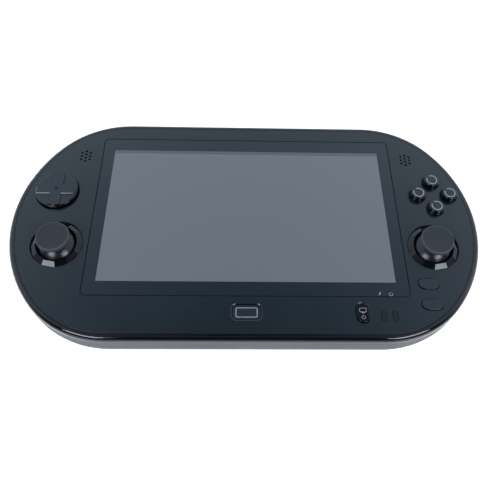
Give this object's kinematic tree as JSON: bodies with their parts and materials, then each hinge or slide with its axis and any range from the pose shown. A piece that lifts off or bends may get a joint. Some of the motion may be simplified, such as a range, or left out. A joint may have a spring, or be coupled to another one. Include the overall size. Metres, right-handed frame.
{
  "type": "handheld game console",
  "caption": "Handheld game console with a wide screen between two grips, each with a thumb stick: a pad and a cluster of face buttons, shoulder buttons and edge sockets.",
  "frame": {"origin": "under the middle of the console, on the plane that its rubber feet stand on", "axes": "+X to the player's right along the console, +Y to its top edge, +Z out of the screen"},
  "size_m": [0.2546, 0.138, 0.0345],
  "materials": {
    "face_plastic": "satin moulded",
    "gloss_black": "gloss moulded",
    "grey_side": "fine matte texture",
    "window": "gloss, printed border",
    "stick_rubber": "matte rubber on a gloss dome",
    "foot_rubber": "matte rubber",
    "black_steel": "black zinc",
    "steel": "bright",
    "plated_steel": "nickel plated",
    "board": "solder mask",
    "chip": "moulded resin",
    "copper": "rolled",
    "ribbon": "polyimide film",
    "battery": "wrapped cell",
    "silicone": "moulded silicone",
    "foam": "closed-cell foam",
    "panel_glass": "polarised",
    "white_plastic": "moulded",
    "clear_plastic": "clear, smoked",
    "acetal": "moulded"
  },
  "bodies": {
    "root": {"front_shell": "face_plastic", "side_frame": "gloss_black", "rear_shell": "grey_side", "rubber_feet": "foot_rubber", "case_screws": "black_steel", "inner_screws": "steel", "display_lens": "window", "lens_tape": "foam", "display_gasket": "foam", "lcd_glass": "panel_glass", "backlight_unit": "white_plastic", "display_bracket": "steel", "display_ribbon": "ribbon", "main_board": "board", "board_chips": "chip", "heat_spreader": "copper", "side_ribbons": "ribbon", "battery_pack": "battery", "headphone_jack": "acetal", "charging_port": "plated_steel", "rocker_switches": "chip", "hinge_pins": "steel", "dpad_pivot_base": "acetal", "dpad_pad": "silicone", "face_button_pad": "silicone", "menu_button_pad": "silicone", "status_light_pipes": "clear_plastic", "status_leds": "white_plastic", "key_board": "board", "key_switches": "plated_steel", "speaker_gaskets": "foam", "shoulder_switches": "chip", "left_stick_bezel": "gloss_black", "left_stick_base": "acetal", "left_control_board": "board", "left_speaker": "chip", "right_stick_bezel": "gloss_black", "right_stick_base": "acetal", "right_control_board": "board", "right_speaker": "chip"},
    "left_stick_yoke": {"left_stick_yoke": "acetal"},
    "left_stick": {"left_stick_post": "steel", "left_stick_cap": "stick_rubber"},
    "right_stick_yoke": {"right_stick_yoke": "acetal"},
    "right_stick": {"right_stick_post": "steel", "right_stick_cap": "stick_rubber"},
    "dpad_cross": {"dpad_cross": "steel"},
    "dpad": {"dpad": "face_plastic"},
    "top_button": {"top_button": "gloss_black"},
    "right_button": {"right_button": "gloss_black"},
    "bottom_button": {"bottom_button": "gloss_black"},
    "left_button": {"left_button": "gloss_black"},
    "start_button": {"start_button": "face_plastic"},
    "select_button": {"select_button": "face_plastic"},
    "home_button": {"home_button": "face_plastic"},
    "power_button": {"power_button": "gloss_black"},
    "left_shoulder_button": {"left_shoulder_button": "gloss_black"},
    "right_shoulder_button": {"right_shoulder_button": "gloss_black"},
    "volume_rocker": {"volume_rocker": "gloss_black"}
  },
  "joints": [
    {"name": "left_stick_up_down", "type": "hinge", "parent": "root", "child": "left_stick_yoke", "pos_m": [-0.1003, -0.0156, 0.0177], "axis": [1, 0, 0], "range_deg": [-17, 17], "stiffness_Nm_per_rad": 0.02},
    {"name": "left_stick_sideways", "type": "hinge", "parent": "left_stick_yoke", "child": "left_stick", "pos_m": [-0.1003, -0.0156, 0.0177], "axis": [0, 1, 0], "range_deg": [-17, 17], "stiffness_Nm_per_rad": 0.02},
    {"name": "right_stick_up_down", "type": "hinge", "parent": "root", "child": "right_stick_yoke", "pos_m": [0.1003, -0.0156, 0.0177], "axis": [1, 0, 0], "range_deg": [-17, 17], "stiffness_Nm_per_rad": 0.02},
    {"name": "right_stick_sideways", "type": "hinge", "parent": "right_stick_yoke", "child": "right_stick", "pos_m": [0.1003, -0.0156, 0.0177], "axis": [0, 1, 0], "range_deg": [-17, 17], "stiffness_Nm_per_rad": 0.02},
    {"name": "dpad_up_down", "type": "hinge", "parent": "root", "child": "dpad_cross", "pos_m": [-0.1055, 0.0183, 0.0216], "axis": [1, 0, 0], "range_deg": [-3.5, 3.5], "stiffness_Nm_per_rad": 0.2, "deforming": ["dpad_pad"]},
    {"name": "dpad_sideways", "type": "hinge", "parent": "dpad_cross", "child": "dpad", "pos_m": [-0.1055, 0.0183, 0.0216], "axis": [0, 1, 0], "range_deg": [-3.5, 3.5], "stiffness_Nm_per_rad": 0.2, "deforming": ["dpad_pad"]},
    {"name": "top_button_press", "type": "slide", "parent": "root", "child": "top_button", "axis": [0, 0, -1], "range_m": [0, 0.0012], "stiffness_N_per_m": 700, "deforming": ["face_button_pad"]},
    {"name": "right_button_press", "type": "slide", "parent": "root", "child": "right_button", "axis": [0, 0, -1], "range_m": [0, 0.0012], "stiffness_N_per_m": 700, "deforming": ["face_button_pad"]},
    {"name": "bottom_button_press", "type": "slide", "parent": "root", "child": "bottom_button", "axis": [0, 0, -1], "range_m": [0, 0.0012], "stiffness_N_per_m": 700, "deforming": ["face_button_pad"]},
    {"name": "left_button_press", "type": "slide", "parent": "root", "child": "left_button", "axis": [0, 0, -1], "range_m": [0, 0.0012], "stiffness_N_per_m": 700, "deforming": ["face_button_pad"]},
    {"name": "start_button_press", "type": "slide", "parent": "root", "child": "start_button", "axis": [0, 0, -1], "range_m": [0, 0.0006], "stiffness_N_per_m": 1000, "deforming": ["menu_button_pad"]},
    {"name": "select_button_press", "type": "slide", "parent": "root", "child": "select_button", "axis": [0, 0, -1], "range_m": [0, 0.0006], "stiffness_N_per_m": 1000, "deforming": ["menu_button_pad"]},
    {"name": "home_button_press", "type": "slide", "parent": "root", "child": "home_button", "axis": [0, 0, -1], "range_m": [0, 0.0005], "stiffness_N_per_m": 1500},
    {"name": "power_button_press", "type": "slide", "parent": "root", "child": "power_button", "axis": [0, 0, -1], "range_m": [0, 0.0005], "stiffness_N_per_m": 1500},
    {"name": "left_shoulder_button_press", "type": "hinge", "parent": "root", "child": "left_shoulder_button", "pos_m": [-0.07597, 0.06095, 0.0149], "axis": [0, 0, 1], "range_deg": [0, 3], "stiffness_Nm_per_rad": 0.8},
    {"name": "right_shoulder_button_press", "type": "hinge", "parent": "root", "child": "right_shoulder_button", "pos_m": [0.07597, 0.06095, 0.0149], "axis": [0, 0, -1], "range_deg": [0, 3], "stiffness_Nm_per_rad": 0.8},
    {"name": "volume_rocker_tilt", "type": "hinge", "parent": "root", "child": "volume_rocker", "pos_m": [0.03601, 0.0648, 0.0185], "axis": [0, 0, 1], "range_deg": [-3, 3], "stiffness_Nm_per_rad": 0.2}
  ]
}
